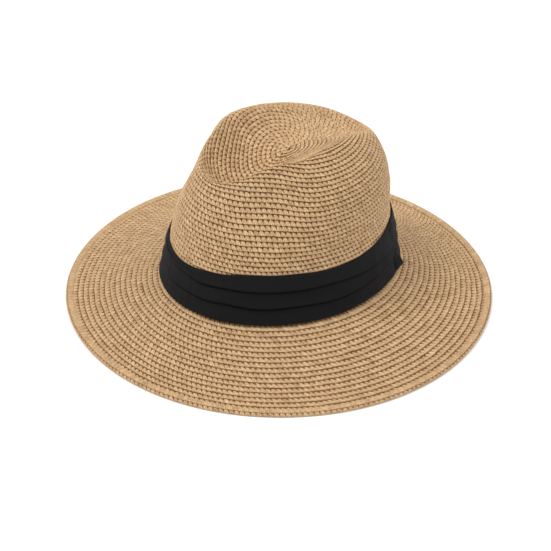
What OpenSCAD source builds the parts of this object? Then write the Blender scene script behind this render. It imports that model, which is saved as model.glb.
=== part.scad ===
// Wide-brimmed straw sun hat: a pinched teardrop crown and a sloping oval brim sewn from paper braid,
// a folded edge row over a stiffening hoop, a pleated fabric band with a knot, and a sweatband inside.
// The hat rests on the flat underside of its edge row, with its front towards -Y and its left to +X.

/* [Crown] */
// Length of the crown at the headline, outside the braid
crown_l = 204; // [196:1:212]
// Width of the crown at the headline, outside the braid
crown_w = 173; // [167:1:179]
// Height of the upright wall above the headline, up to the shoulder
wall_h = 51; // [47:1:54]
// Width of the crown at the shoulder
shoulder_w = 155; // [151:1:159]
// Height above the headline of the round block that the crown is shaped on
block_h = 138; // [134:1:142]
// Height above the headline of the rim around the teardrop hollow, at its highest
rim_h = 122; // [118:1:125]
// How far the upper front is set back
front_set = 11; // [7:0.5:13]
// How far each pinch beside the front is pushed in
pinch_depth = 9; // [6:0.5:11]

/* [Brim] */
// Length of the brim, front to back
brim_l = 358; // [344:1:372]
// Width of the brim, side to side
brim_w = 347; // [333:1:361]
// Height of the headline above the plane that the edge rests on
headline_h = 25; // [20:1:30]
// Thickness of the sewn braid
braid_t = 1.8; // [1.5:0.1:2.1]

/* [Edge row] */
// Height of the folded edge row
edge_h = 3.6; // [3.4:0.1:4.2]
// Width of the folded edge row
edge_w = 6; // [5.5:0.5:8]
// Diameter of the stiffening hoop
hoop_d = 1.2; // [0.8:0.1:1.4]
// Length of the sleeve that joins the hoop's ends
sleeve_l = 16; // [10:1:20]

/* [Hatband] */
// Height of the pleated band
band_h = 43; // [36:1:46]
// Number of pleats
pleats = 3; // [2:1:4]
// Thickness of the band at the lower edge of each pleat
pleat_t = 2.5; // [2:0.1:3]
// Direction that the knot faces, from the wearer's left towards the back
knot_angle = 37; // [20:1:60]
// How far the knot stands out from the band, near its lower end
knot_t = 5.8; // [4:0.2:8]
// Width of the knot along the band
knot_w = 17; // [12:1:22]

/* [Sweatband] */
// Height of the sweatband
sweat_h = 33; // [26:1:38]
// Thickness of the sweatband
sweat_t = 1.2; // [0.8:0.1:1.6]
// Number of visible stitches round the sweatband
stitches = 64; // [40:4:80]
// Length of one stitch
stitch_l = 4; // [3:0.5:5]

/* [Hidden] */
$fn = 96;

straw = "#c9a673";
cloth = "#1d1d20";
tape = "#d8c9ae";

fit = 0.3;                             // clearance between sewn layers
thread_d = 0.6;
columns = 72;                          // points round each ring of a braided shell
head_r = crown_w / 2;
head_c = (crown_l - crown_w) / 2;      // how much longer than wide each half of the crown is
edge_r = brim_w / 2;
edge_c = (brim_l - brim_w) / 2;        // the same for the brim's edge
shoulder_r = shoulder_w / 2;
shoulder_z = headline_h + wall_h;
block_z = headline_h + block_h;
rim_z = headline_h + rim_h;

// Every oval is four arcs that meet at 45 degrees. Half as wide as r and half as long as r + c, its
// arcs keep their centres as r grows, so rows of braid on one oval family stay parallel.
arc_k = 1 / (2 - sqrt(2));
function arc_e(c) = round(100 * arc_k * c) / 100;
function oval(r, c, t) =
    let (e = arc_e(c))
    abs(cos(t)) >= abs(sin(t))
        ? [(r + e) * cos(t) - e * sign(cos(t)), (r + e) * sin(t)]
        : [(r + c - e) * cos(t), (r + c - e) * sin(t) + e * sign(sin(t))];

// Sweeps a section, drawn at its half width and height, round an oval
module oval_ring(c) {
    e = arc_e(c);
    for (turn = [0, 180])
        rotate(turn) {
            translate([-e, 0, 0])
                rotate_extrude(angle = 90, start = -45) translate([e, 0]) children();
            translate([0, e, 0])
                rotate_extrude(angle = 90, start = 45) translate([c - e, 0]) children();
        }
}

// Keeps the part of its children within a width either side of the oval's point that faces angle t
module oval_part(r, c, t, width) {
    reach = 60;
    p = oval(r, c, t);
    intersection() {
        children();
        translate([p.x, p.y, 0]) rotate(t) cube([reach, width, 4 * reach], center = true);
    }
}

// Radius of the crown's outer wall at height z, to the side of the hat
function wall_r(z) = head_r - (head_r - shoulder_r) * (z - headline_h) / wall_h;

// The block above the shoulder: a superellipse in section, squarer at the back, leaning and tipped back
round_n = 2.12;
round_back = 0.27;
lean = 0.038;
tip_back = 0.168;
tip_curve = 0.067;
tip_y = 60;
long_r = 50;                           // ovals narrower than this lose their extra length
// The upper front is set back, and pinched on each side of it: directions off the front, and heights
front_reach = 75;
front_low = headline_h + 42;
front_full = headline_h + 115;
front_in = 0.45;                       // how much of the set-back also narrows the front
pinch_dir = 44;
pinch_spread = 19;
pinch_low = headline_h + 47;
pinch_full = headline_h + 97;
nose = 14;                             // half the width of the front between the pinches
// Both fade out on top of the crown
fade_z = headline_h + 93;
fade_h = 35;
front_fade = 0.3;
pinch_fade = 0.55;
// The teardrop hollow: the block turned down inside a rim that falls to the front and the back
rim_front = 0.0031;
rim_back = 0.00275;
rim_side = 0.0635;
rim_side_front = 0.13;                 // how much more the rim rises to its sides at the front
rim_round = 8;
hollow_k = 1.1;
fold_r = 1.6;
fold_front = 1.5;                      // how much rounder the fold grows at the front

function smooth(u) = let (v = min(1, max(0, u))) v * v * (3 - 2 * v);
function tanh(x) = let (e = exp(2 * x)) (e - 1) / (e + 1);
function soft_step(d, r) = d > 12 * r ? d : r * ln(1 + exp(d / r));

function wall_point(u, t) =
    let (z = headline_h + fit + (wall_h - fit) * u)
    [each oval(wall_r(z), head_c, t), z];
function block_point(a, t) =
    let (n = round_n + round_back * sin(t),
         r = shoulder_r * pow(cos(a), 2 / n),
         short = 1 - min(1, r / long_r))
    [each oval(r, head_c * (1 - short * short), t),
     shoulder_z + (block_z - shoulder_z) * pow(sin(a), 2 / n)];

function lean_back(p) =
    let (rise = max(0, p.z - shoulder_z), y = p.y + lean * rise, v = y / tip_y)
    [p.x, y, p.z - rise * (tip_back * v - tip_curve * v * v)];
function pinch(p) =
    let (r = norm([p.x, p.y]),
         off_front = atan2(abs(p.x), -p.y),
         high = smooth((p.z - fade_z) / fade_h),
         back = front_set * (1 - front_fade * high) * smooth((r - 5) / 50)
             * smooth((front_reach - off_front) / front_reach)
             * smooth((p.z - front_low) / (front_full - front_low)),
         press = pinch_depth * (1 - pinch_fade * high) * smooth((r - 25) / 35)
             * exp(-pow((off_front - pinch_dir) / pinch_spread, 2))
             * smooth((p.z - pinch_low) / (pinch_full - pinch_low)))
    [p.x - (press + front_in * back) * tanh(p.x / nose) * sqrt(0.5), p.y + (press + back) * sqrt(0.5), p.z];
function hollow(p) =
    let (side = rim_side + rim_side_front * smooth((-20 - p.y) / 35),
         across = sqrt(p.x * p.x + rim_round * rim_round) - rim_round,
         rim = rim_z - (p.y > 0 ? rim_back : rim_front) * p.y * p.y + side * across,
         fold = fold_r + fold_front * smooth((-35 - p.y) / 30))
    [p.x, p.y, p.z - 2 * hollow_k * soft_step(p.z - rim, fold)];
function shape(p) = hollow(pinch(lean_back(p)));

function turn_angles() = [for (j = [0:columns - 1]) 360 * j / columns];
function shape_ring(points) = [for (p = points) shape(p)];

wall_rows = 3;
block_rows = 21;
last_angle = 88;
crown_outer = [
    for (i = [0:wall_rows - 1])
        shape_ring([for (t = turn_angles()) wall_point(i / wall_rows, t)]),
    for (i = [0:block_rows])
        shape_ring([for (t = turn_angles()) block_point(last_angle * i / block_rows, t)])
];
crown_tip = shape([0, 0, block_z]);

// The same rings set in by a thickness along the surface's normal, with the first ring kept level
function set_in(g, thickness) = [
    for (i = [0:len(g) - 1]) [
        for (j = [0:columns - 1])
            let (up = g[min(i + 1, len(g) - 1)][j] - g[max(i - 1, 0)][j],
                 along = g[i][(j + 1) % columns] - g[i][(j + columns - 1) % columns],
                 n = cross(along, up),
                 p = g[i][j] - thickness * n / norm(n))
            i == 0 ? [p.x, p.y, g[i][j].z] : p
    ]
];

function joined(lists) = [for (l = lists) each l];
// Faces between ring i and the next, clockwise as seen from outside and mirrored from side to side
function ring_faces(i) = [
    for (j = [0:columns - 1])
        let (k = (j + 1) % columns,
             a = i * columns,
             b = a + columns,
             on_left = cos(360 * (j + 0.5) / columns) > 0)
        each on_left
            ? [[a + j, b + j, b + k], [a + j, b + k, a + k]]
            : [[a + j, b + j, a + k], [b + j, b + k, a + k]]
];

module crown_braid() {
    inner = set_in(crown_outer, braid_t);
    count = len(crown_outer) * columns;
    top = count - columns;
    outside = joined([for (i = [0:len(crown_outer) - 2]) ring_faces(i)]);
    inside = [for (f = outside) [f[2] + count, f[1] + count, f[0] + count]];
    ends = joined([
        for (j = [0:columns - 1])
            let (k = (j + 1) % columns, a = top + j, b = top + k)
            [[a, 2 * count, b], [count + b, 2 * count + 1, count + a],
             [j, k, count + k], [j, count + k, count + j]]
    ]);
    points = concat(joined(crown_outer), joined(inner), [crown_tip, crown_tip - [0, 0, braid_t]]);
    color(straw) polyhedron(points, concat(outside, inside, ends), convexity = 8);
}

// The slot that the folded edge row closes round the brim and the hoop
slot_h = braid_t + fit;
hoop_cover = 0.7;
hoop_r = edge_r - hoop_cover - slot_h / 2;
edge_round = 1.2;

// The brim falls from the headline to the edge row, and runs level where the edge row grips it
brim_in_r = head_r - braid_t;
brim_out_r = hoop_r - slot_h / 2 - fit;
brim_level = 0.93;
brim_droop = 1.3;
brim_steps = [0, 0.1, 0.2, 0.32, 0.45, 0.58, 0.7, 0.8, 0.87, 0.93, 1];

function brim_point(u, t, above) =
    let (fall = pow(1 - min(1, u / brim_level), brim_droop),
         low = edge_h / 2 + above - braid_t / 2,
         high = headline_h + above - braid_t,
         p = (1 - u) * oval(brim_in_r, head_c, t) + u * oval(brim_out_r, edge_c, t))
    [p.x, p.y, low + (high - low) * fall];

module brim_braid() {
    steps = len(brim_steps);
    rings = [
        for (i = [0:steps - 1]) [for (t = turn_angles()) brim_point(brim_steps[i], t, 0)],
        for (i = [steps - 1:-1:0]) [for (t = turn_angles()) brim_point(brim_steps[i], t, braid_t)]
    ];
    last = (2 * steps - 1) * columns;
    faces = joined([for (i = [0:2 * steps - 2]) ring_faces(i)]);
    inner_wall = joined([
        for (j = [0:columns - 1])
            let (k = (j + 1) % columns)
            [[last + j, j, k], [last + j, k, last + k]]
    ]);
    color(straw) polyhedron(joined(rings), concat(faces, inner_wall), convexity = 6);
}

function arc(x, z, r, from, to) =
    [for (i = [0:4]) let (a = from + (to - from) * i / 4) [x + r * cos(a), z + r * sin(a)]];

module brim_edge_row() {
    in_r = edge_r - edge_w;
    corner_r = edge_r - edge_round;
    mid = edge_h / 2;
    section = concat(
        [[in_r, 0]],
        arc(corner_r, edge_round, edge_round, -90, 0),
        arc(corner_r, edge_h - edge_round, edge_round, 0, 90),
        [[in_r, edge_h], [in_r, mid + slot_h / 2]],
        arc(hoop_r, mid, slot_h / 2, 90, -90),
        [[in_r, mid - slot_h / 2]]
    );
    color(straw) oval_ring(edge_c) polygon(section);
}

// A hoop whose two ends meet at the back, inside the sleeve
module brim_hoop() {
    gap = 0.4;
    color("white")
        difference() {
            oval_ring(edge_c) translate([hoop_r, edge_h / 2]) circle(d = hoop_d, $fn = 24);
            translate([-gap / 2, edge_r / 2, 0]) cube([gap, edge_r, edge_h]);
        }
}

module hoop_sleeve() {
    sleeve_slack = 0.2;
    color("silver")
        oval_part(hoop_r, edge_c, 90, sleeve_l)
            oval_ring(edge_c)
                translate([hoop_r, edge_h / 2])
                    difference() {
                        circle(d = slot_h - sleeve_slack, $fn = 32);
                        circle(d = hoop_d + sleeve_slack / 2, $fn = 32);
                    }
}

band_z = headline_h + 0.7;
band_top = band_z + band_h;
pleat_top_t = 1.4;
function band_r(z) = wall_r(z) + fit;

// Each pleat hangs over the one below it
module hatband() {
    gap = 0.5;
    edge = [
        for (i = [0:pleats - 1])
            let (z0 = band_z + band_h * i / pleats, z1 = z0 + band_h / pleats)
            each [[band_r(z0) + pleat_t, z0], [band_r(z1) + pleat_top_t, z1]]
    ];
    p = oval(head_r, head_c, knot_angle);
    color(cloth)
        difference() {
            oval_ring(head_c)
                polygon(concat([[band_r(band_z), band_z]], edge, [[band_r(band_top), band_top]]));
            translate([p.x, p.y, band_z - 1])
                rotate(knot_angle) translate([-20, -gap / 2, 0]) cube([40, gap, band_h + 2]);
        }
}

// A short loop of the same cloth over the place where the band's ends meet, nearly flat but for a
// full fold near its lower end
module hatband_knot() {
    low = band_z - fit;
    high = band_top - 3;
    steps = 10;
    back_t = pleat_t + fit;
    flat_t = 0.8;
    fold_at = 0.14;
    fold_spread = 0.2;
    front = [
        for (i = [0:steps])
            let (s = i / steps, z = low + (high - low) * s, full = exp(-pow((s - fold_at) / fold_spread, 2)))
            [band_r(z) + back_t + flat_t + (knot_t - flat_t) * full, z]
    ];
    section = concat([[band_r(high) + back_t, high], [band_r(low) + back_t, low]], front);
    color(cloth) oval_part(head_r, head_c, knot_angle, knot_w) oval_ring(head_c) polygon(section);
}

// Four short threads, one on each side, that hold the band's upper edge to the crown
module hatband_tacks() {
    tack_l = 4;
    r = band_r(band_top) + pleat_t + thread_d;
    color(cloth)
        for (t = [0, 90, 180, 270])
            translate([each oval(r, head_c, t), band_top - tack_l / 2])
                cylinder(d = thread_d, h = tack_l, $fn = 24);
}

sweat_z = headline_h - braid_t + 0.2;
sweat_top = sweat_z + sweat_h;

// A strip of tape inside the crown: its outer face lies depth inside the braid
module lining(depth, thick, z0, z1) {
    r0 = wall_r(z0) - braid_t - depth;
    r1 = wall_r(z1) - braid_t - depth;
    oval_ring(head_c) polygon([[r0, z0], [r1, z1], [r1 - thick, z1], [r0 - thick, z0]]);
}

sweat_depth = fit + 0.2;
lining_depth = sweat_depth + sweat_t + 0.15;
lining_r = head_r - braid_t - lining_depth;
tab_t = 0.7;

module sweatband() {
    color(tape) lining(sweat_depth, sweat_t, sweat_z, sweat_top);
}

// The tab that covers the place where the sweatband's ends meet
module sweatband_tab() {
    tab_w = 14;
    margin = 0.5;
    color(tape)
        oval_part(lining_r, head_c, 90, tab_w)
            lining(lining_depth, tab_t, sweat_z + margin, sweat_top - margin);
}

module size_label() {
    label_w = 24;
    label_h = 15;
    label_t = 0.5;
    label_angle = 108;
    label_z = sweat_z + (sweat_h - label_h) / 2;
    color("white")
        oval_part(lining_r, head_c, label_angle, label_w)
            lining(lining_depth, label_t, label_z, label_z + label_h);
}

// Straight stitches along the sweatband's lower edge
module sweatband_stitching() {
    z = sweat_z + 2.5;
    r = wall_r(z) - braid_t - lining_depth - tab_t - thread_d / 2 - 0.2;
    color("white")
        for (i = [0:stitches - 1])
            let (t = 360 * (i + 0.5) / stitches)
            translate([each oval(r, head_c, t), z])
                rotate([90, 0, t]) cylinder(d = thread_d, h = stitch_l, center = true, $fn = 16);
}

crown_braid();
brim_braid();
brim_edge_row();
brim_hoop();
hoop_sleeve();
hatband();
hatband_knot();
hatband_tacks();
sweatband();
sweatband_tab();
sweatband_stitching();
size_label();
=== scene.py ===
"""The straw sun hat's visible model.

The braid is sewn in spirals over the crown and the brim, and its last row folds over the hoop. The pleated
band has its knot, and the inside has the sweatband with its tab and label. Materials and light follow.
"""

import math

import bpy
import numpy as np
from mathutils import Matrix, Vector


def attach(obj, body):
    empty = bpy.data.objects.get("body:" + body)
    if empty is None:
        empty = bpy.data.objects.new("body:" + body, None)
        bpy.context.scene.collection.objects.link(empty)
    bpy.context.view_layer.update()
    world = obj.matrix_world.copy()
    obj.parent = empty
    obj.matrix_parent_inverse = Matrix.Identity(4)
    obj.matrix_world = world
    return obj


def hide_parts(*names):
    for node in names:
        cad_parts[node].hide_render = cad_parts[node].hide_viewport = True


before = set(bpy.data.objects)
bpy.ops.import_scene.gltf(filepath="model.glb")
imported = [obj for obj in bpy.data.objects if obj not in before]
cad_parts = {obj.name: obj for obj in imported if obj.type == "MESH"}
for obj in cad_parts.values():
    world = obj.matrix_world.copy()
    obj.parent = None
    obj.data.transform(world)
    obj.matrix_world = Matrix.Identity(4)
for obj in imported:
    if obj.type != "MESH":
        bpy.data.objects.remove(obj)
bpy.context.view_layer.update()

MM = 0.001
TURN = 2 * math.pi

# ---------------------------------------------------------------- shapes shared with the CAD part, in mm
HEAD_R, HEAD_C = 86.5, 15.5
EDGE_R, EDGE_C = 173.5, 5.5
EDGE_H, EDGE_W = 3.6, 6.0
SHOULDER_R = 77.5
HEADLINE_Z, WALL_H, BLOCK_H, RIM_H = 25.0, 51.0, 138.0, 122.0
SHOULDER_Z, BLOCK_Z, RIM_Z = HEADLINE_Z + WALL_H, HEADLINE_Z + BLOCK_H, HEADLINE_Z + RIM_H
BRAID_T, FIT, LEAST_WALL_Z = 1.8, 0.3, 25.3
BAND_Z, BAND_H = 25.7, 43.0
BAND_TOP = BAND_Z + BAND_H
PLEAT_T = 2.5
KNOT_ANGLE = math.radians(37)
SWEAT_Z, SWEAT_H, SWEAT_T = 23.4, 33.0, 1.2
SWEAT_TOP = SWEAT_Z + SWEAT_H


def oval(r, c, t):
    """The oval of four arcs: half its width is r, half its length r + c, and its side faces t."""
    e = np.round(100 * c / (2 - math.sqrt(2))) / 100 if np.isscalar(c) else c / (2 - math.sqrt(2))
    ct, st = np.cos(t), np.sin(t)
    side = np.abs(ct) >= np.abs(st)
    x = np.where(side, (r + e) * ct - e * np.sign(ct), (r + c - e) * ct)
    y = np.where(side, (r + e) * st, (r + c - e) * st + e * np.sign(st))
    return x, y


def wall_r(z):
    """Half the width of the crown's wall at a height."""
    return HEAD_R - (HEAD_R - SHOULDER_R) * (z - HEADLINE_Z) / WALL_H


def smooth(u):
    """A smooth step from 0 at 0 to 1 at 1."""
    v = np.clip(u, 0, 1)
    return v * v * (3 - 2 * v)


def pile(*parts):
    """Arrays of coordinates, spread to one shape, as an array of points."""
    return np.stack(np.broadcast_arrays(*parts), -1)


def block(sigma, t):
    """A point of the crown's block before it is creased.

    sigma runs from 0 to 1 from the tip to the shoulder, and from 1 to 2 down the wall.
    """
    a = np.clip(1 - sigma, 0, 1) * math.pi / 2
    n = 2.12 + 0.27 * np.sin(t)  # the dome is fuller at the back than at the front
    r_top = SHOULDER_R * np.clip(np.cos(a), 0, 1) ** (2 / n)
    z_top = SHOULDER_Z + (BLOCK_Z - SHOULDER_Z) * np.clip(np.sin(a), 0, 1) ** (2 / n)
    z_wall = SHOULDER_Z - (SHOULDER_Z - LEAST_WALL_Z) * (sigma - 1)
    on_wall = sigma > 1
    r = np.where(on_wall, wall_r(z_wall), r_top)
    z = np.where(on_wall, z_wall, z_top)
    short = 1 - np.minimum(1, r / 50)
    x, y = oval(r, np.where(on_wall, HEAD_C, HEAD_C * (1 - short**2)), t)
    rise = np.maximum(0, z - SHOULDER_Z)
    y = y + 0.038 * rise
    v = y / 60
    z = z - rise * (0.168 * v - 0.067 * v * v)
    return x, y, z


# how the block is creased: the front set back, the pinches at both sides of it, and the rim of the hollow
FRONT_SET = 11
PINCH_DEPTH = 9
PINCH_DIR, PINCH_SPREAD = 44, 19
NOSE = 14  # how far from the middle the pinches reach their full side thrust
RIM_FRONT, RIM_BACK, RIM_SIDE = 0.0031, 0.00275, 0.0635
RIM_ROUND = 8


def crease(x, y, z):
    """The front set back and pinched at both sides, then the teardrop hollow, all pressed into the block."""
    r = np.hypot(x, y)
    off_front = np.degrees(np.arctan2(np.abs(x), -y))
    high = smooth((z - 118) / 35)
    back = FRONT_SET * smooth((75 - off_front) / 75) * smooth((z - 67) / 73)
    back = back * smooth((r - 5) / 50) * (1 - 0.3 * high)
    near_pinch = np.exp(-(((off_front - PINCH_DIR) / PINCH_SPREAD) ** 2)) * smooth((r - 25) / 35)
    press = PINCH_DEPTH * near_pinch * smooth((z - 72) / 50) * (1 - 0.55 * high)
    x = x - (press + 0.45 * back) * np.tanh(x / NOSE) * math.sqrt(0.5)
    y = y + (press + back) * math.sqrt(0.5)
    side = RIM_SIDE + 0.13 * smooth((-20 - y) / 35)
    along = np.where(y > 0, RIM_BACK, RIM_FRONT) * y * y
    rim = RIM_Z - along + side * (np.sqrt(x * x + RIM_ROUND**2) - RIM_ROUND)
    fold = 1.6 + 1.5 * smooth((-35 - y) / 30)
    z = z - 2.2 * fold * np.logaddexp(0, (z - rim) / fold)
    return pile(x, y, z)


CROWN_ROWS = 50  # from the tip to the headline
CROWN_PITCH = 3.85
TABLE_T, TABLE_L = 144, 720  # directions in the table, and steps down each


def meridian_table():
    """The sigma of each row in each direction: a pitch apart above the headline, stretched near the tip."""
    sigma = np.concatenate([np.linspace(0, 1, 320), np.linspace(1, 2, 90)[1:]])
    table = np.zeros((TABLE_T + 1, TABLE_L + 1))
    share = np.linspace(1, 0, TABLE_L + 1)
    for k in range(TABLE_T + 1):
        p = np.stack(block(sigma, np.full_like(sigma, TURN * k / TABLE_T)), -1)
        run = np.concatenate([[0], np.cumsum(np.linalg.norm(np.diff(p, axis=0), axis=1))])
        even = CROWN_PITCH * CROWN_ROWS
        above = even * share + (run[-1] - even) * share**2.6
        table[k] = np.interp(run[-1] - above, run, sigma)
    return table


MERIDIANS = meridian_table()


def crown_surface(row, t):
    """The crown's outer surface, at a row counted from the tip."""
    a = np.mod(t, TURN) / TURN * TABLE_T
    b = np.clip(row / CROWN_ROWS, 0, 1) * TABLE_L
    i = np.minimum(a.astype(int), TABLE_T - 1)
    j = np.minimum(b.astype(int), TABLE_L - 1)
    u, v = a - i, b - j
    m = MERIDIANS
    low = m[i, j] * (1 - v) + m[i, j + 1] * v
    high = m[i + 1, j] * (1 - v) + m[i + 1, j + 1] * v
    sigma = low * (1 - u) + high * u
    return crease(*block(sigma, t))


BRIM_ROWS = 18  # from the headline to the row that folds over the hoop
BRIM_PITCH = 4.7
BRIM_IN_R = HEAD_R - BRAID_T
BRIM_OUT_R = EDGE_R - 0.7 - (BRAID_T + FIT) - FIT


def brim_surface(row, t):
    """The brim's upper surface, at a row counted from the headline."""
    u = row / BRIM_ROWS
    fall = (1 - np.minimum(1, u / 0.93)) ** 1.3
    x0, y0 = oval(BRIM_IN_R, HEAD_C, t)
    x1, y1 = oval(BRIM_OUT_R, EDGE_C, t)
    low = EDGE_H / 2 + BRAID_T / 2
    z = low + (HEADLINE_Z - low) * fall
    return pile((1 - u) * x0 + u * x1, (1 - u) * y0 + u * y1, z)


# ---------------------------------------------------------------- mesh helpers
def new_object(name, points, faces, attributes):
    """A smooth-shaded mesh from points in mm, with its painting attributes."""
    mesh = bpy.data.meshes.new(name)
    mesh.from_pydata((np.asarray(points) * MM).tolist(), [], [list(map(int, f)) for f in faces])
    for key, values in attributes.items():
        values = np.asarray(values, np.float32)
        kind = "FLOAT" if values.ndim == 1 else "FLOAT_VECTOR"
        layer = mesh.attributes.new(key, kind, "POINT")
        layer.data.foreach_set("value" if values.ndim == 1 else "vector", values.ravel())
    mesh.polygons.foreach_set("use_smooth", [True] * len(mesh.polygons))
    mesh.update()
    obj = bpy.data.objects.new(name, mesh)
    bpy.context.scene.collection.objects.link(obj)
    return obj


def grid_faces(n, m, wrap_n=False, wrap_m=False, start=0):
    """Quads of an n by m grid of points, row by row."""
    i = np.arange(n if wrap_n else n - 1)
    j = np.arange(m if wrap_m else m - 1)
    i, j = np.meshgrid(i, j, indexing="ij")
    i2, j2 = (i + 1) % n, (j + 1) % m
    return pile(i * m + j, i2 * m + j, i2 * m + j2, i * m + j2).reshape(-1, 4) + start


def sheet_faces(n, m, outward):
    """Faces of a thin sheet: an n by m grid, a second one behind it, and the rim that joins them."""
    size = n * m
    front, back = grid_faces(n, m), grid_faces(n, m, start=size)
    border = [j for j in range(m)] + [i * m + m - 1 for i in range(1, n)]
    border += [(n - 1) * m + j for j in range(m - 2, -1, -1)] + [i * m for i in range(n - 2, 0, -1)]
    pairs = zip(border, border[-1:] + border[:-1])
    if outward:
        rim = [[a, b, b + size, a + size] for a, b in pairs]
        return front[:, ::-1].tolist() + back.tolist() + rim
    rim = [[b, a, a + size, b + size] for a, b in pairs]
    return front.tolist() + back[:, ::-1].tolist() + rim


def waves(s, seed, longest):
    """Smooth noise of about unit size along a length: a few sines of seeded phase."""
    count = 5
    rng = np.random.default_rng(seed)
    out = np.zeros_like(s)
    for k in range(count):
        out += np.sin(TURN * s / (longest / (1 + 0.83 * k)) + rng.uniform(0, TURN)) / math.sqrt(count / 2)
    return out


# ---------------------------------------------------------------- the braid
CELL = 4.1  # length of one leaf of the plait along the braid
SLANT = 0.5  # how far a leaf slants along the braid for each mm across it
HALF_T = 0.45  # half the thickness of a single layer of braid
LAP = 1.38  # width of the braid in rows: each turn is lapped by the one before it
COVERED = 1 - 1 / LAP  # share of the width that the turn before it covers
SPINE = COVERED + 0.025  # where the leaves start, just clear of the covered part
# where a ring's points are across the width, closest where the leaves start and at the free edge
SHARES = np.array([0, 0.15, 0.28, 0.33, 0.40, 0.50, 0.61, 0.73, 0.85, 0.95, 1])
STEP = 0.52  # length between the rings of points along a braid
STIFF = 0.6  # share of a bend across the braid that the braid doesn't follow
EDGE_LENGTH = 1092  # of the row round the brim's edge, before it is rounded to whole leaves


def leaves(s, across, share, seed):
    """The plait at s along and across a braid: relief from 0 to 1, the tone of each leaf, the leaves' run."""
    v = np.clip((share - SPINE) / (1 - SPINE), 0, 1)
    outer = share > SPINE
    phase = (s - SLANT * np.abs(across)) / CELL + 0.5 * outer
    index = np.floor(phase).astype(int)
    part = phase - index
    table = np.random.default_rng(seed).normal(size=4096)
    tone = table[(index * 2 + outer) % 4096]
    # wedge-shaped gaps between the leaves beside the turn that laps over them, shallow seams further out
    beside = 0.5 - np.abs(part - 0.5)
    gap = smooth((0.26 * (1 - v / 0.6) + 0.08 - beside) / 0.16)
    seam = 1 - smooth(beside / 0.16)
    relief = 1 - np.maximum(0.95 * gap, 0.4 * seam) - 0.2 * (1 - v) ** 4 + 0.1 * tone
    return relief, tone, phase * CELL


def braid_points(surface, rows, pitch, s, phi, seed):
    """A braid sewn in a spiral, each turn lapping over the next: rings of points, top then underside."""
    share = SHARES[None, :] + 0 * s[:, None]
    across = (share - SPINE) * LAP * pitch
    along_s = s[:, None] + 0 * share
    lap_in = np.maximum(phi / TURN + 1 - LAP, 0.0)
    if surface is brim_surface:
        # the brim's first turn reaches right in to the crown's last row, all the way round
        lap_in = lap_in * smooth((phi / TURN - 1) / 0.15)
    lap_out = np.minimum(phi / TURN + 1, rows)
    relief, tone, run = leaves(along_s, across, share, seed)
    # leaves fold back at the free edge, which leaves a shallow notch between each and the next
    notch = 0.05 * (1 - relief) * smooth((share - 0.7) / 0.3)
    wander = 0.11 * waves(s, seed + 1, 83.0)[:, None] / pitch
    row = lap_in[:, None] + (lap_out - lap_in)[:, None] * (share - notch) + wander
    row = np.clip(row, 0.004, rows - 0.001)
    t = phi[:, None] + math.pi / 2 + 0 * share
    p = surface(row, t)
    # a braid is too stiff to follow a sharp bend across its width, and its edges stand off a little
    mid = (lap_in + lap_out)[:, None] / 2
    low, high = np.maximum(mid - 0.35, 0.01), np.minimum(mid + 0.35, rows)
    slope = (surface(high, t[:, :1]) - surface(low, t[:, :1])) / (high - low)[..., None]
    flat = surface(mid, t[:, :1]) + slope * (row - mid)[..., None]
    p = p + STIFF * smooth(phi / TURN - 1)[:, None, None] * (flat - p)
    dr, dt = 0.35, 0.6 / 90
    across_v = surface(np.minimum(row + dr, rows), t) - surface(np.maximum(row - dr, 0.01), t)
    along_v = surface(row, t + dt) - surface(row, t - dt)
    n = np.cross(across_v, along_v)
    n /= np.maximum(np.linalg.norm(n, axis=-1, keepdims=True), 1e-9)
    lean = LAP * HALF_T * (2 * share - 1)
    middle = -BRAID_T / 2 + lean + 0.05 * waves(s, seed + 2, 37.0)[:, None]
    edge = np.sqrt(np.clip(1 - np.abs(2 * share - 1) ** 8, 0.10, 1))
    half = edge * (HALF_T - 0.2 + 0.5 * relief)
    top, bottom = (p + n * offset[..., None] for offset in (middle + half, middle - half))
    points = np.concatenate([top, bottom[:, ::-1]], 1)
    # nothing laps over the first turn, so its inner part gets no painted lap shade; on the other turns the
    # painted shade of the gaps and of the lapped part reaches a little further out beside the free edge
    # above, and furthest on upright parts
    reach = 0.085 - 0.035 * np.abs(n[..., 2])
    drawn = np.where(phi[:, None] < TURN, np.maximum(share, 0.45), share - reach)
    # the last turn narrows out under its neighbour, and its painted gap and lap shade fade out
    closing = smooth(phi / TURN - (rows - 1.2))[:, None]
    drawn = drawn + closing * np.maximum(0.62 - drawn, 0)
    fibre = pile(run, across, drawn)
    # underneath, painted gap shade shows along the inner part, and again beside the next turn, which covers
    # the rest
    below = np.where(share < 0.6, np.maximum(drawn, 0.5), np.maximum(1.5 - share, SPINE))
    under = pile(run, across, below)
    attributes = {
        "tone": np.concatenate([tone, tone[:, ::-1]], 1),
        "fibre": np.concatenate([fibre, under[:, ::-1]], 1),
    }
    return points, attributes


def spiral(surface, rows):
    """Even steps along the spiral's middle line: lengths along it and the angle turned through."""
    phi = np.arange(0, rows * 180 + 1) * TURN / 180
    line = surface(np.clip(phi / TURN + 0.3, 0.05, rows), phi + math.pi / 2)
    run = np.concatenate([[0], np.cumsum(np.linalg.norm(np.diff(line, axis=0), axis=1))])
    s = np.arange(0, run[-1], STEP)
    return s, np.interp(s, run, phi)


def tube_object(name, points, attributes):
    """Closed rings of points in a row, with a face over each end."""
    n, m = points.shape[:2]
    faces = grid_faces(n, m, wrap_m=True)[:, ::-1].tolist()
    faces += [list(range(m)), [(n - 1) * m + k for k in range(m - 1, -1, -1)]]
    flat = {k: v.reshape(n * m, *v.shape[2:]) for k, v in attributes.items()}
    return new_object(name, points.reshape(-1, 3), faces, flat)


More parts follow.
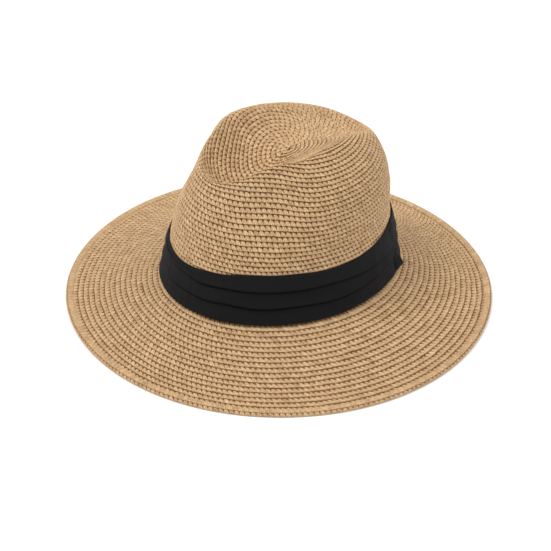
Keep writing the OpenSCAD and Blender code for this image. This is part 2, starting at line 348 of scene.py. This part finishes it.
def braid_pieces(prefix, surface, rows, pitch, seed, pieces):
    """One long spiral braid, cut end to end into pieces."""
    s, phi = spiral(surface, rows)
    ends = np.linspace(0, len(s) - 1, pieces + 1).astype(int)
    made = []
    for k in range(pieces):
        cut = slice(ends[k], ends[k + 1] + 1)
        points, attributes = braid_points(surface, rows, pitch, s[cut], phi[cut], seed)
        made.append(tube_object(f"{prefix}_{k + 1}", points, attributes))
    return made


crown_pieces = braid_pieces("crown_straw", crown_surface, CROWN_ROWS, CROWN_PITCH, 11, 9)
brim_pieces = braid_pieces("brim_straw", brim_surface, BRIM_ROWS, BRIM_PITCH, 23, 7)


def edge_row():
    """The last braid, folded over the hoop from the brim's upper face round to its underside."""
    count = 1500
    t = np.arange(count) * TURN / count
    cells = round(EDGE_LENGTH / CELL)
    s = t / TURN * cells * CELL
    r_in, r_out, h = EDGE_R - EDGE_W, EDGE_R, EDGE_H
    # the braid's middle line, from its upper inner edge round the outside to its lower inner edge
    path = [(r_in - 0.5, h - 1.15), (r_in + 0.7, h - 0.55), (r_in + 2.2, h - 0.38), (r_in + 3.4, h - 0.30)]
    path += [
        (r_out - 2.0 + 1.62 * math.cos(a), h / 2 + 1.55 * math.sin(a))
        for a in np.radians([72, 48, 24, 0, -24, -48, -72])
    ]
    path += [(r_in + 3.4, 0.32), (r_in + 2.2, 0.34), (r_in + 0.7, 0.36), (r_in - 0.2, 0.42)]
    path = np.array(path)
    run_across = np.concatenate([[0], np.cumsum(np.linalg.norm(np.diff(path, axis=0), axis=1))])
    # three courses of leaves: the upper face, the outside, and the underside
    ends = np.array([0, 5.3, 8.6, run_across[-1]])
    course = np.repeat([0, 1, 2], 11)
    within = np.tile(np.linspace(0, 1, 11), 3)
    fine = ends[course] + within * (ends[course + 1] - ends[course]) * 0.995
    path = np.stack([np.interp(fine, run_across, path[:, 0]), np.interp(fine, run_across, path[:, 1])], 1)
    tangent = np.gradient(path, axis=0)
    tangent /= np.maximum(np.linalg.norm(tangent, axis=1, keepdims=True), 1e-6)
    normal = np.stack([-tangent[:, 1], tangent[:, 0]], 1)
    # the upper face starts clear of the painted lap shade, so its painted gap shade is slight; the outside
    # and the underside each start with a thin line of painted lap shade
    start = np.where(course == 0, SPINE + 0.40, SPINE - 0.03)
    share = (start + within * (1 - start))[None, :] + 0 * s[:, None]
    across = (share - SPINE) * 6.5
    relief, tone, run = leaves(s[:, None] + 1.3 * course[None, :], across, share, 31)
    rim = np.sqrt(np.clip(1 - np.abs(2 * np.arange(33) / 32 - 1) ** 9, 0.12, 1))[None, :]
    thick = rim * (0.02 + 0.42 * relief + 0.28 * within[None, :])
    inner = rim * 0.3
    points = []
    for off in (thick, -inner):
        r = path[None, :, 0] + normal[None, :, 0] * off
        z = path[None, :, 1] + normal[None, :, 1] * off
        x, y = oval(r, EDGE_C, t[:, None])
        points.append(pile(x, y, np.maximum(z, 0.0)))
    ring = np.concatenate([points[0], points[1][:, ::-1]], 1)
    fibre = pile(run, across, share)

    def both(values):
        return np.concatenate([values, values[:, ::-1]], 1)

    n, m = ring.shape[:2]
    faces = grid_faces(n, m, wrap_n=True, wrap_m=True)
    flat = {"tone": both(tone).ravel(), "fibre": both(fibre).reshape(-1, 3)}
    return new_object("edge_row_straw", ring.reshape(-1, 3), faces, flat)


edge_piece = edge_row()

# ---------------------------------------------------------------- cloth
CLOTH_T = 0.4
BAND_R = 95.0  # mean radius of the band, which turns its directions into lengths
LINING_R = 90  # the same for the lining
LINING_GAP = 0.5  # from the braid to the lining
LINING_STITCHES = 64


def strip(path, half):
    """A path of (depth, height) points thickened both ways into a closed section."""
    tangent = np.gradient(path, axis=0)
    tangent /= np.maximum(np.linalg.norm(tangent, axis=-1, keepdims=True), 1e-9)
    normal = pile(tangent[..., 1], -tangent[..., 0])
    return np.concatenate([path + normal * half, (path - normal * half)[::-1]], 0)


def resample(path, count):
    run = np.concatenate([[0], np.cumsum(np.linalg.norm(np.diff(path, axis=0), axis=1))])
    at = np.linspace(0, run[-1], count)
    return np.stack([np.interp(at, run, path[:, k]) for k in range(path.shape[1])], 1), run[-1]


def rounded(path, times=2):
    """Corner cutting, which turns a polyline's corners into small curves."""
    for _ in range(times):
        a, b = path[:-1], path[1:]
        cut = np.stack([0.75 * a + 0.25 * b, 0.25 * a + 0.75 * b], 1).reshape(-1, path.shape[1])
        path = np.concatenate([path[:1], cut, path[-1:]], 0)
    return path


def ring_distance(t, centre):
    """Distance round the band from a direction, in mm, signed."""
    d = np.mod(t - centre + math.pi, TURN) - math.pi
    return d * BAND_R


def band_upper(t):
    """Height of the band's upper edge by direction: it dips at the front and a little beside the knot."""
    front = np.exp(-((ring_distance(t, -1.80) / 82) ** 2))
    side = np.exp(-((ring_distance(t, 0.02) / 36) ** 2))
    return BAND_TOP - 0.9 - 8.8 * front - 3.8 * side


def hatband():
    """One strip of cloth folded into three pleats, each hanging over the one below."""
    count = 500
    gap = 0.004  # the strip's ends stay apart behind the knot
    t = np.linspace(KNOT_ANGLE + gap, KNOT_ANGLE + TURN - gap, count)
    fold_shares = (0.324, 0.629)
    sections, shade = [], []
    length = 0
    for angle in t:
        near = ring_distance(angle, KNOT_ANGLE)
        pull = math.exp(-((near / 40) ** 2))
        s = angle * BAND_R
        one = np.array([s])
        z1, z2 = (
            BAND_Z + BAND_H * f + 0.5 * float(waves(one, 41 + i, 210.0)[0]) for i, f in enumerate(fold_shares)
        )
        knot_z = BAND_Z + 17.0
        z1 += (knot_z - z1) * 0.25 * pull
        z2 += (knot_z - z2) * 0.42 * pull
        top = band_upper(angle) + 0.25 * float(waves(one, 44, 160.0)[0])
        low = BAND_Z + 0.15 * float(waves(one, 45, 190.0)[0]) - 0.1 + 0.8 * pull
        puff = 0.25 * pull
        # (depth, height) from the turned-in upper edge down over each pleat to the turned-in lower edge
        path = [(0.45, top - 6), (0.42, top - 0.7), (0.62, top), (0.95, top - 0.4), (1.30, top - 3.0)]
        path += [(1.60, top - 6)]
        for fold, front in ((z2, 1.95), (z1, 1.85)):
            path += [(front + puff, fold + 4), (2.7 + puff, fold + 1.0), (2.6 + puff, fold)]
            path += [(1.62, fold + 0.6), (1.52, fold + 4.2), (1.28, fold + 5.0)]
            path += [(1.02, fold + 4.2), (1.0, fold + 0.6), (1.05, fold - 1.6)]
        path += [(1.9 + puff, low + 4), (2.05, low + 1.0), (1.75, low), (1.2, low + 0.4), (0.9, low + 6)]
        path, length = resample(rounded(np.array(path, float), 2), 96)
        section = strip(path, CLOTH_T / 2)
        # painted shade in the folds, just under each pleat's edge
        below = [np.abs(section[:, 1] - (fold - 0.8)) for fold in (z1, z2)]
        shade.append(smooth(1.6 - np.minimum(*below)))
        ripple = 0.10 * float(waves(one, 47, 34.0)[0]) + 0.35 * pull * math.sin(near / 3.1)
        out = np.clip((section[:, 0] - 1.1) / 1.0, 0, 1)
        high = (section[:, 1] - BAND_Z) / BAND_H
        wave = 0.13 * np.sin(near / 9.0 + 5 * high) * out
        section[:, 0] += out * ripple * 0.6 + wave
        # the band's lower edge stands off the crown a little, and most beside the knot
        section[:, 0] += (1.2 + 1.6 * math.exp(-((near / 20) ** 2))) * np.clip(1 - high, 0, 1) ** 4
        sections.append(section)
    section = np.array(sections)
    z = section[..., 1]
    x, y = oval(wall_r(z) + FIT + section[..., 0], HEAD_C, t[:, None])
    points = pile(x, y, z)
    n, m = points.shape[:2]
    faces = grid_faces(n, m, wrap_m=True)[:, ::-1].tolist()
    faces += [list(range(m)), [(n - 1) * m + k for k in range(m - 1, -1, -1)]]
    across = np.linspace(0, 2 * length, m)[None, :] + 0 * z
    weave = pile(t[:, None] * BAND_R + 0 * z, across, 0 * z)
    attributes = {"weave": weave.reshape(-1, 3), "fold": np.array(shade).ravel()}
    return new_object("band_cloth", points.reshape(-1, 3), faces, attributes), length


band_piece, band_cut = hatband()


def knot():
    """The short loop of cloth gathered round the band, fullest low down."""
    rows, columns = 72, 56
    a = np.linspace(-1, 1, columns)[None, :]
    s = np.linspace(0, 1, rows)[:, None]
    low, high = BAND_Z - 0.1, BAND_TOP - 1.6
    z = low + (high - low) * s + 0 * a
    full = np.exp(-(((s - 0.11) / 0.13) ** 2))
    half_w = 6.0 + 4.4 * full + 0.4 * np.sin(9 * s + 0.6)
    crown = np.cos(a * math.pi / 2) ** 1.3
    ends = smooth((s + 0.03) / 0.07) * smooth((1 - s) / 0.10)
    folds = 0.55 * np.sin(3.3 * math.pi * a + 1.1 * np.sin(4 * s) + 0.4)
    folds = folds + 0.3 * np.sin(6.1 * math.pi * a + 2.0 * s)
    folds = folds * (1 - np.abs(a) ** 4)
    swell = 1.0 + 3.9 * full + folds * (0.15 + 0.7 * full)
    stand = -0.6 + 0.8 * (1 - s) ** 3 + swell * crown * (0.4 + 0.6 * ends)
    depth = -1.6 * (1 - ends)
    slide = a * half_w + 0.8 * np.sin(3.5 * s - 0.7)
    t = KNOT_ANGLE + slide / BAND_R
    layers = []
    for off in (0.0, -0.42):
        r = wall_r(z) + FIT + PLEAT_T + stand + depth + off
        x, y = oval(r, HEAD_C, t)
        layers.append(pile(x, y, z))
    points = np.concatenate([layers[0].reshape(-1, 3), layers[1].reshape(-1, 3)])
    faces = sheet_faces(rows, columns, outward=True)
    weave = pile(slide, BAND_H * s, 0 * z).reshape(-1, 3)
    return new_object("knot_cloth", points, faces, {"weave": np.concatenate([weave, weave])})


knot_piece = knot()


def inner_face(z):
    """Radius of the lining's outer face."""
    return wall_r(z) - BRAID_T - LINING_GAP


def sweatband():
    """A ribbed cotton tape against the inside of the crown."""
    count, rows = 1500, 22
    t = np.arange(count) * TURN / count
    z = np.linspace(SWEAT_Z, SWEAT_TOP, rows)
    edge = np.minimum(np.arange(rows), np.arange(rows)[::-1]) / 1.5
    hem = np.clip(edge, 0, 1)
    rib = 0.10 * np.cos(t * 440)[:, None] * hem
    # the tape swells a little beside its two rolled edges and dips where it is stitched
    dip = -0.22 * np.exp(-(((z - SWEAT_Z - 2.5) / 0.9) ** 2))
    body = SWEAT_T - 0.25 + 0.2 * np.exp(-(((z - SWEAT_TOP + 1.0) / 1.0) ** 2)) + dip
    inner = inner_face(z)[None, :] - (body[None, :] * (0.45 + 0.55 * hem) + rib)
    outer = inner_face(z)[None, :] - 0.05 * (1 - hem) + 0 * rib
    layers = []
    for r in (inner, outer):
        x, y = oval(r, HEAD_C, t[:, None])
        layers.append(pile(x, y, z[None, :] + 0 * r))
    ring = np.concatenate([layers[0], layers[1][:, ::-1]], 1)
    n, m = ring.shape[:2]
    faces = grid_faces(n, m, wrap_n=True, wrap_m=True)
    weave = np.concatenate([z, z[::-1]])[None, :] + 0 * t[:, None]
    weave = pile(t[:, None] * LINING_R, weave, 0 * weave)
    return new_object("sweatband_cloth", ring.reshape(-1, 3), faces, {"weave": weave.reshape(-1, 3)})


sweat_piece = sweatband()


def patch(name, angle, width, z0, z1, thick, depth, rib=0.0, soft=1.2):
    """A flat piece of cloth on the lining, rounded at its edges."""
    columns, rows = 48, 40
    a = np.linspace(-1, 1, columns)[None, :]
    b = np.linspace(-1, 1, rows)[:, None]
    height = z1 - z0
    z = (z0 + z1) / 2 + b * height / 2 + 0 * a
    rim_a = np.clip((1 - np.abs(a)) * width / 2 / soft, 0, 1)
    rim_b = np.clip((1 - np.abs(b)) * height / 2 / soft, 0, 1)
    body = np.sqrt(np.clip(1 - (1 - rim_a * rim_b) ** 2, 0.05, 1))
    t = angle + a * width / 2 / LINING_R + 0 * b
    layers = []
    for off in (thick * body + rib * np.sin(z * 5.2) * body, 0.03 * body):
        x, y = oval(inner_face(z) - depth - off, HEAD_C, t)
        layers.append(pile(x, y, z))
    points = np.concatenate([layers[0].reshape(-1, 3), layers[1].reshape(-1, 3)])
    faces = sheet_faces(rows, columns, outward=False)
    weave = pile(a * width / 2, z, 0 * z).reshape(-1, 3)
    return new_object(name, points, faces, {"weave": np.concatenate([weave, weave])})


ON_TAPE = SWEAT_T + 0.12
tab_piece = patch("tab_cloth", math.pi / 2, 13.0, SWEAT_Z + 0.8, SWEAT_TOP - 0.8, 0.62, ON_TAPE, rib=0.05)
label_angle = math.radians(108)
label_piece = patch("label_cloth", label_angle, 24.0, SWEAT_Z + 9, SWEAT_Z + 24, 0.45, ON_TAPE, rib=0.03)


def stitches(name, places, thread, length):
    """Short rounds of thread: each (point, direction along, direction out) is a low arch of thread."""
    rings, sides = 11, 8
    points, faces, twist = [], [], []
    for k, (p, d, out) in enumerate(places):
        p, d, out = (np.asarray(v, float) for v in (p, d, out))
        cross = np.cross(d, out)
        u = np.linspace(-1, 1, rings)
        for v in u:
            centre = p + d * v * length / 2 + out * (0.25 * (1 - v * v) - 0.12) * thread * 2
            r = thread / 2 * math.sqrt(max(0.08, 1 - abs(v) ** 6))
            for q in range(sides):
                ang = TURN * q / sides
                points.append(centre + cross * r * math.cos(ang) + out * r * math.sin(ang))
                twist.append((v * length / 2, ang, k))
        base = k * rings * sides
        last = base + (rings - 1) * sides
        faces += grid_faces(rings, sides, wrap_m=True, start=base).tolist()
        faces += [list(range(base + sides - 1, base - 1, -1)), list(range(last, last + sides))]
    return new_object(name, points, faces, {"weave": np.array(twist)})


def lining_stitch_places():
    """Where the stitches round the sweatband's lower edge are, standing out where they cross the tab."""
    places = []
    z = SWEAT_Z + 2.5
    for i in range(LINING_STITCHES):
        t = TURN * (i + 0.5) / LINING_STITCHES
        r = inner_face(z) - SWEAT_T + 0.12
        near_tab = abs(ring_distance(t, math.pi / 2)) < 9
        x, y = oval(r - (0.75 if near_tab else 0.0), HEAD_C, t)
        along, inward = (-math.sin(t), math.cos(t), 0), (-math.cos(t), -math.sin(t), 0)
        places.append(((float(x), float(y), z), along, inward))
    return places


stitch_piece = stitches("sweatband_thread", lining_stitch_places(), 0.6, 4.2)


def tack_places():
    """Where the four tacks hold the band's upper edge."""
    places = []
    for t in (0, math.pi / 2, math.pi, 1.5 * math.pi):
        z = float(band_upper(t)) - 0.9
        x, y = oval(wall_r(z) + FIT + 1.35, HEAD_C, t)
        places.append(((float(x), float(y), z), (0, 0, 1), (math.cos(t), math.sin(t), 0)))
    return places


tack_piece = stitches("band_thread", tack_places(), 0.55, 3.6)


# ---------------------------------------------------------------- materials
def linear(r, g, b):
    """A display colour from 0 to 255 as linear values."""
    out = []
    for v in (r, g, b):
        v /= 255
        out.append(v / 12.92 if v <= 0.04045 else ((v + 0.055) / 1.055) ** 2.4)
    return (*out, 1.0)


class Nodes:
    """A short way to write a node tree."""

    def __init__(self, name):
        self.mat = bpy.data.materials.new(name)
        self.mat.use_nodes = True
        self.tree = self.mat.node_tree
        self.shader = self.tree.nodes["Principled BSDF"]

    def add(self, kind, inputs=None, **settings):
        node = self.tree.nodes.new(kind)
        for key, value in settings.items():
            setattr(node, key, value)
        for key, value in (inputs or {}).items():
            self.feed(node.inputs[key], value)
        return node

    def feed(self, socket, value):
        if isinstance(value, bpy.types.NodeSocket):
            self.tree.links.new(value, socket)
        else:
            socket.default_value = value

    def math(self, operation, a, b=0.0, clamp=False):
        return self.add("ShaderNodeMath", {0: a, 1: b}, operation=operation, use_clamp=clamp).outputs[0]

    def line(self, value, slope, offset):
        """slope * value + offset"""
        inputs = {0: value, 1: slope, 2: offset}
        return self.add("ShaderNodeMath", inputs, operation="MULTIPLY_ADD").outputs[0]

    def ramp(self, value, low, high):
        """A smooth step from 0 at low to 1 at high."""
        inputs = {"Value": value, "From Min": low, "From Max": high}
        return self.add("ShaderNodeMapRange", inputs, interpolation_type="SMOOTHSTEP").outputs[0]

    def mix(self, factor, a, b):
        node = self.add("ShaderNodeMix", data_type="RGBA")
        self.feed(node.inputs[0], factor)
        self.feed(node.inputs[6], a)
        self.feed(node.inputs[7], b)
        return node.outputs[2]

    def attribute(self, name, output="Fac"):
        return self.add("ShaderNodeAttribute", attribute_name=name).outputs[output]

    def noise(self, vector, scale, detail, roughness):
        inputs = {"Vector": vector, "Scale": scale, "Detail": detail, "Roughness": roughness}
        return self.add("ShaderNodeTexNoise", inputs).outputs["Fac"]

    def scaled(self, vector, scale):
        return self.add("ShaderNodeMapping", {"Vector": vector, "Scale": scale}).outputs["Vector"]

    def place(self):
        return self.add("ShaderNodeTexCoord").outputs["Object"]


STRAW_DARK, STRAW_LIGHT = linear(152, 115, 75), linear(240, 207, 161)
YARN_SEAM, LEAF_SEAM = linear(128, 88, 46), linear(104, 70, 36)
WEDGE_SHADE, LAP_SHADE = linear(96, 50, 14), linear(100, 56, 18)
FOLD_SHADE = linear(1, 1, 2)


def straw_material():
    """Plaited straw: "fibre" holds the place along the leaves, and across the braid in mm and as a share."""
    n = Nodes("straw_braid")
    tone = n.attribute("tone")
    fibre = n.attribute("fibre", "Vector")
    parts = n.add("ShaderNodeSeparateXYZ", {"Vector": fibre})
    run, across, share = parts.outputs
    flat = n.add("ShaderNodeCombineXYZ", {0: run, 1: across}).outputs[0]
    streak = n.noise(n.scaled(flat, (2.2, 0.5, 1.0)), 1.5, 4.0, 0.65)
    cloud = n.noise(n.place(), 26.0, 2.0, 0.5)
    fleck = n.noise(n.place(), 1100.0, 2.0, 0.6)
    level = n.line(tone, 0.07, 0.5)
    level = n.math("ADD", level, n.line(streak, 1.2, -0.6))
    level = n.math("ADD", level, n.line(fleck, 2.1, -1.05))
    level = n.math("ADD", level, n.line(cloud, 0.12, -0.06), clamp=True)
    colour = n.mix(level, STRAW_DARK, STRAW_LIGHT)
    # narrow darker seams between the paper yarns that make up each leaf
    yarn = n.math("SINE", n.math("MULTIPLY", run, TURN / (CELL / 3)))
    seam = n.math("POWER", n.line(yarn, -0.5, 0.5), 3.0)
    colour = n.mix(n.math("MULTIPLY", seam, 0.6), colour, YARN_SEAM)
    # painted shade in the wedge-shaped gaps between the leaves, which narrow to a fine dark seam towards the
    # free edge
    beside = n.math("PINGPONG", n.math("DIVIDE", run, CELL), 0.5)
    wedge = n.math("SUBTRACT", n.line(share, -0.66, 0.49), beside)
    colour = n.mix(n.math("MULTIPLY", n.ramp(wedge, 0.0, 0.09), 0.95), colour, WEDGE_SHADE)
    colour = n.mix(n.math("MULTIPLY", n.ramp(beside, 0.09, 0.0), 0.45), colour, LEAF_SEAM)
    # the part of each row that the next one laps over is in the dark, and shows as a line beside its edge
    lapped = n.ramp(share, COVERED + 0.09, COVERED + 0.03)
    colour = n.mix(n.math("MULTIPLY", lapped, 0.5), colour, LAP_SHADE)
    n.feed(n.shader.inputs["Base Color"], colour)
    n.feed(n.shader.inputs["Roughness"], n.line(streak, 0.25, 0.55))
    n.shader.inputs["Specular IOR Level"].default_value = 0.3
    height = n.math("ADD", n.math("MULTIPLY", yarn, 0.5), n.math("MULTIPLY", streak, 1.4))
    height = n.math("ADD", height, n.math("MULTIPLY", fleck, 0.6))
    bump = n.add("ShaderNodeBump", {"Strength": 0.7, "Distance": 0.00014, "Height": height})
    n.feed(n.shader.inputs["Normal"], bump.outputs[0])
    return n.mat


def cloth_material(name, dark, light, thread_mm, rough, sheen):
    """Woven cloth: "weave" holds the place on the cloth, and "fold" how much painted shade it takes in a
    fold.
    """
    n = Nodes(name)
    weave = n.attribute("weave", "Vector")
    parts = n.add("ShaderNodeSeparateXYZ", {"Vector": weave})
    k = TURN / thread_mm
    a = n.math("SINE", n.math("MULTIPLY", parts.outputs[0], k))
    b = n.math("SINE", n.math("MULTIPLY", parts.outputs[1], k))
    cross = n.math("MULTIPLY", a, b)
    slub = n.noise(n.scaled(weave, (0.08, 1.2, 1.0)), 1.5, 3.0, 0.6)
    cloud = n.noise(n.place(), 60.0, 3.0, 0.6)
    level = n.math("MULTIPLY", cross, 0.22)
    level = n.math("ADD", level, n.math("MULTIPLY", slub, 0.5))
    level = n.math("ADD", level, n.math("MULTIPLY", cloud, 0.5), clamp=True)
    fold = n.attribute("fold")
    # painted shade in the folds: a near-black colour there, and weaker specular
    shaded = n.mix(n.math("MULTIPLY", fold, 0.6), n.mix(level, dark, light), FOLD_SHADE)
    n.feed(n.shader.inputs["Base Color"], shaded)
    n.feed(n.shader.inputs["Roughness"], n.line(slub, 0.2, rough))
    n.feed(n.shader.inputs["Specular IOR Level"], n.line(fold, -0.10, 0.18))
    n.shader.inputs["Sheen Weight"].default_value = sheen
    n.shader.inputs["Sheen Roughness"].default_value = 0.5
    height = n.math("ADD", cross, n.math("MULTIPLY", slub, 0.8))
    bump = n.add("ShaderNodeBump", {"Strength": 0.5, "Distance": 0.00008, "Height": height})
    n.feed(n.shader.inputs["Normal"], bump.outputs[0])
    return n.mat


def simple_material(name, low, high, rough, metallic=0.0, scale=400.0):
    n = Nodes(name)
    grain = n.noise(n.place(), scale, 3.0, 0.6)
    n.feed(n.shader.inputs["Base Color"], n.mix(grain, low, high))
    n.feed(n.shader.inputs["Roughness"], n.line(grain, 0.2, rough))
    n.shader.inputs["Metallic"].default_value = metallic
    return n.mat


def set_material(obj, mat):
    obj.data.materials.clear()
    obj.data.materials.append(mat)


straw = straw_material()
black_cloth = cloth_material("band_cloth", linear(10, 10, 12), linear(21, 21, 23), 0.45, 0.75, 0.02)
tape_cloth = cloth_material("sweatband_tape", linear(196, 180, 152), linear(222, 208, 182), 0.7, 0.75, 0.1)
label_cloth = cloth_material("label_cloth", linear(214, 211, 202), linear(236, 233, 226), 0.35, 0.7, 0.05)
cream_thread = cloth_material("cream_thread", linear(196, 176, 140), linear(228, 210, 178), 0.5, 0.7, 0.05)
black_thread = cloth_material("black_thread", linear(20, 20, 22), linear(40, 40, 44), 0.5, 0.65, 0.05)
nylon = simple_material("hoop_nylon", linear(222, 218, 206), linear(236, 233, 224), 0.25)
metal = simple_material("sleeve_metal", linear(190, 192, 194), linear(214, 216, 218), 0.3, 1.0, 900.0)

for obj in [*crown_pieces, *brim_pieces, edge_piece]:
    set_material(obj, straw)
    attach(obj, "root")
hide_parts("crown_braid")
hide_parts("brim_braid")
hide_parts("brim_edge_row")

for obj, mat, node, slot in (
    (band_piece, black_cloth, "hatband", "band_cloth"),
    (knot_piece, black_cloth, "hatband_knot", "band_cloth"),
    (tack_piece, black_thread, "hatband_tacks", "black_thread"),
    (sweat_piece, tape_cloth, "sweatband", "sweatband_tape"),
    (tab_piece, tape_cloth, "sweatband_tab", "sweatband_tape"),
    (label_piece, label_cloth, "size_label", "label_cloth"),
    (stitch_piece, cream_thread, "sweatband_stitching", "thread"),
):
    set_material(obj, mat)
    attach(obj, "root")
    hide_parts(node)
set_material(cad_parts["brim_hoop"], nylon)
set_material(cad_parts["hoop_sleeve"], metal)

# ---------------------------------------------------------------- floor, light and camera
floor_mesh = bpy.data.meshes.new("floor")
floor_mesh.from_pydata([(-3, -3, 0), (3, -3, 0), (3, 3, 0), (-3, 3, 0)], [], [(0, 1, 2, 3)])
floor = bpy.data.objects.new("floor", floor_mesh)
bpy.context.scene.collection.objects.link(floor)
floor_mat = bpy.data.materials.new("pale_floor")
floor_mat.use_nodes = True
floor_mat.node_tree.nodes["Principled BSDF"].inputs["Base Color"].default_value = (0.93, 0.93, 0.93, 1)
floor_mat.node_tree.nodes["Principled BSDF"].inputs["Roughness"].default_value = 0.9
floor_mesh.materials.append(floor_mat)

world = bpy.data.worlds.new("studio")
world.use_nodes = True
world.node_tree.nodes["Background"].inputs["Color"].default_value = (1, 1, 1, 1)
world.node_tree.nodes["Background"].inputs["Strength"].default_value = 0.75
bpy.context.scene.world = world
bpy.context.scene.view_settings.view_transform = "Standard"

CENTRE = Vector((0, 0, 0.05))
AZIMUTH, ELEVATION, ROLL = math.radians(50), math.radians(33.94), math.radians(1.813)
DISTANCE, LENS = 1.2, 95.78
AIM_LEFT, AIM_DOWN = 0.004024, 0.03452
level = Vector((math.sin(AZIMUTH), -math.cos(AZIMUTH), 0))
back = level * math.cos(ELEVATION) + Vector((0, 0, math.sin(ELEVATION)))
right = Vector((math.cos(AZIMUTH), math.sin(AZIMUTH), 0))
up = right.cross(-back)


def area_light(name, side, height, forward, size, power):
    """A soft square lamp, placed by how far it is to the camera's right, up, and towards the camera."""
    data = bpy.data.lights.new(name, "AREA")
    data.shape = "SQUARE"
    data.size = size
    data.energy = power
    obj = bpy.data.objects.new(name, data)
    spot = CENTRE + right * side + level * forward + Vector((0, 0, height))
    turn = (CENTRE - spot).to_track_quat("-Z", "Y").to_matrix().to_4x4()
    obj.matrix_world = Matrix.Translation(spot) @ turn
    bpy.context.scene.collection.objects.link(obj)


area_light("key", side=-1.0, height=1.75, forward=0.3, size=0.7, power=20.5)
area_light("fill", side=1.0, height=1.6, forward=0.1, size=1.2, power=9.5)

camera = bpy.data.objects.new("camera", bpy.data.cameras.new("camera"))
camera.data.sensor_width = 36
camera.data.lens = LENS
camera.data.dof.use_dof = False
camera.data.clip_start, camera.data.clip_end = 0.05, 20
aim = CENTRE - right * AIM_LEFT - up * AIM_DOWN
spot = aim + back * DISTANCE
rolled_right = right * math.cos(ROLL) + up * math.sin(ROLL)
rolled_up = up * math.cos(ROLL) - right * math.sin(ROLL)
camera.matrix_world = Matrix((
    (rolled_right.x, rolled_up.x, back.x, spot.x),
    (rolled_right.y, rolled_up.y, back.y, spot.y),
    (rolled_right.z, rolled_up.z, back.z, spot.z),
    (0, 0, 0, 1),
))
bpy.context.scene.collection.objects.link(camera)
bpy.context.scene.camera = camera
